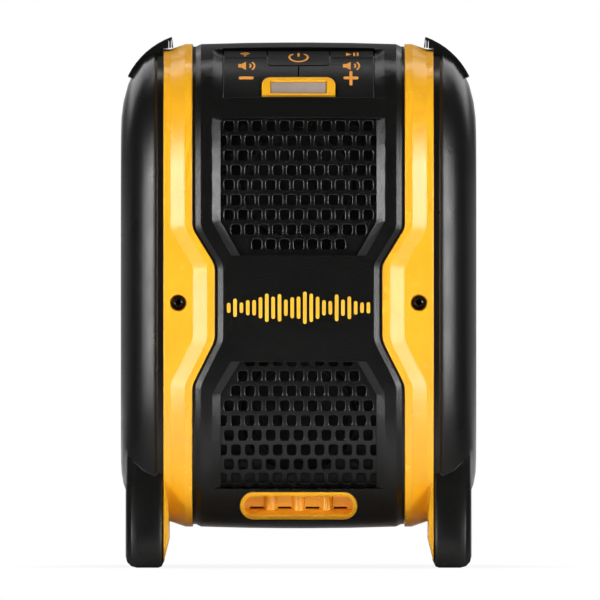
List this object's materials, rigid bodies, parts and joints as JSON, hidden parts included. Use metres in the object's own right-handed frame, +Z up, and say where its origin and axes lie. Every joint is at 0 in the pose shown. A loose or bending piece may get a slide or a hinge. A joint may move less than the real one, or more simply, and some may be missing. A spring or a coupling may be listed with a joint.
{
  "type": "bluetooth speaker",
  "caption": "Upright job-site speaker with hourglass front panel, perforated grilles, sloping control deck, rubber end bumpers with legs, and a battery bay at the rear.",
  "frame": {"origin": "centre of the footprint, on the plane that the feet stand on", "axes": "+Z up, the front faces -Y, +X to the right as seen from the front"},
  "size_m": [0.174, 0.1218, 0.2598],
  "materials": {
    "yellow_plastic": "satin moulded plastic",
    "black_plastic": "fine textured moulded plastic",
    "grille_plastic": "fine textured moulded plastic",
    "bumper_rubber": "satin overmoulded rubber",
    "soft_rubber": "soft matt rubber",
    "lens": "frosted light pipe",
    "circuit_board": "solder mask",
    "component_black": "moulded",
    "bare_steel": "plated",
    "dark_steel": "black oxide",
    "heat_sink_aluminium": "extruded",
    "cone_paper": "pressed paper",
    "copper_winding": "enamelled wire",
    "spider_cloth": "treated cloth",
    "lamp_white": "moulded"
  },
  "bodies": {
    "housing": {"front_housing": "yellow_plastic", "rear_housing": "yellow_plastic", "housing_seal": "soft_rubber", "front_panel": "black_plastic", "rear_panel": "black_plastic", "upper_grille": "grille_plastic", "lower_grille": "grille_plastic", "left_bumper": "bumper_rubber", "right_bumper": "bumper_rubber", "bass_port": "yellow_plastic", "baffle": "black_plastic", "indicator_bezel": "yellow_plastic", "indicator_lens": "lens", "control_board": "circuit_board", "tact_switches": "component_black", "status_lamp": "lamp_white", "main_board": "circuit_board", "board_components": "component_black", "heat_sink": "heat_sink_aluminium", "terminal_block": "component_black", "terminal_blades": "bare_steel", "socket_board": "circuit_board", "audio_jack": "component_black", "power_jack": "component_black", "usb_socket": "bare_steel", "front_screws": "dark_steel", "rear_screws": "dark_steel", "driver_screws": "dark_steel", "bumper_screws": "dark_steel", "board_screws": "bare_steel", "upper_driver_gasket": "soft_rubber", "upper_driver_frame": "dark_steel", "upper_driver_magnet": "bare_steel", "upper_driver_spider": "spider_cloth", "upper_surround": "soft_rubber", "lower_driver_gasket": "soft_rubber", "lower_driver_frame": "dark_steel", "lower_driver_magnet": "bare_steel", "lower_driver_spider": "spider_cloth", "lower_surround": "soft_rubber"},
    "volume_down": {"volume_down_button": "black_plastic"},
    "volume_up": {"volume_up_button": "black_plastic"},
    "power": {"power_button": "black_plastic"},
    "pairing": {"pairing_button": "black_plastic"},
    "play": {"play_button": "black_plastic"},
    "cover": {"port_cover": "soft_rubber"},
    "upper_diaphragm": {"upper_cone": "cone_paper", "upper_dust_cap": "cone_paper", "upper_voice_coil": "copper_winding"},
    "lower_diaphragm": {"lower_cone": "cone_paper", "lower_dust_cap": "cone_paper", "lower_voice_coil": "copper_winding"}
  },
  "joints": [
    {"name": "volume_down_press", "type": "slide", "parent": "housing", "child": "volume_down", "axis": [0, 0.7071, -0.7071], "range_m": [0, 0.001], "stiffness_N_per_m": 900, "springref_m": -0.0006},
    {"name": "volume_up_press", "type": "slide", "parent": "housing", "child": "volume_up", "axis": [0, 0.7071, -0.7071], "range_m": [0, 0.001], "stiffness_N_per_m": 900, "springref_m": -0.0006},
    {"name": "power_press", "type": "slide", "parent": "housing", "child": "power", "axis": [0, 0.7071, -0.7071], "range_m": [0, 0.001], "stiffness_N_per_m": 900, "springref_m": -0.0006},
    {"name": "pairing_press", "type": "slide", "parent": "housing", "child": "pairing", "axis": [0, 0.7071, -0.7071], "range_m": [0, 0.001], "stiffness_N_per_m": 900, "springref_m": -0.0006},
    {"name": "play_press", "type": "slide", "parent": "housing", "child": "play", "axis": [0, 0.7071, -0.7071], "range_m": [0, 0.001], "stiffness_N_per_m": 900, "springref_m": -0.0006},
    {"name": "cover_hinge", "type": "hinge", "parent": "housing", "child": "cover", "pos_m": [0, 0.05433, 0.2244], "axis": [1, 0, 0], "range_deg": [0, 90]},
    {"name": "upper_cone_travel", "type": "slide", "parent": "housing", "child": "upper_diaphragm", "axis": [0, -1, 0], "range_m": [-0.002, 0.002], "stiffness_N_per_m": 1500},
    {"name": "lower_cone_travel", "type": "slide", "parent": "housing", "child": "lower_diaphragm", "axis": [0, -1, 0], "range_m": [-0.002, 0.002], "stiffness_N_per_m": 1500}
  ]
}
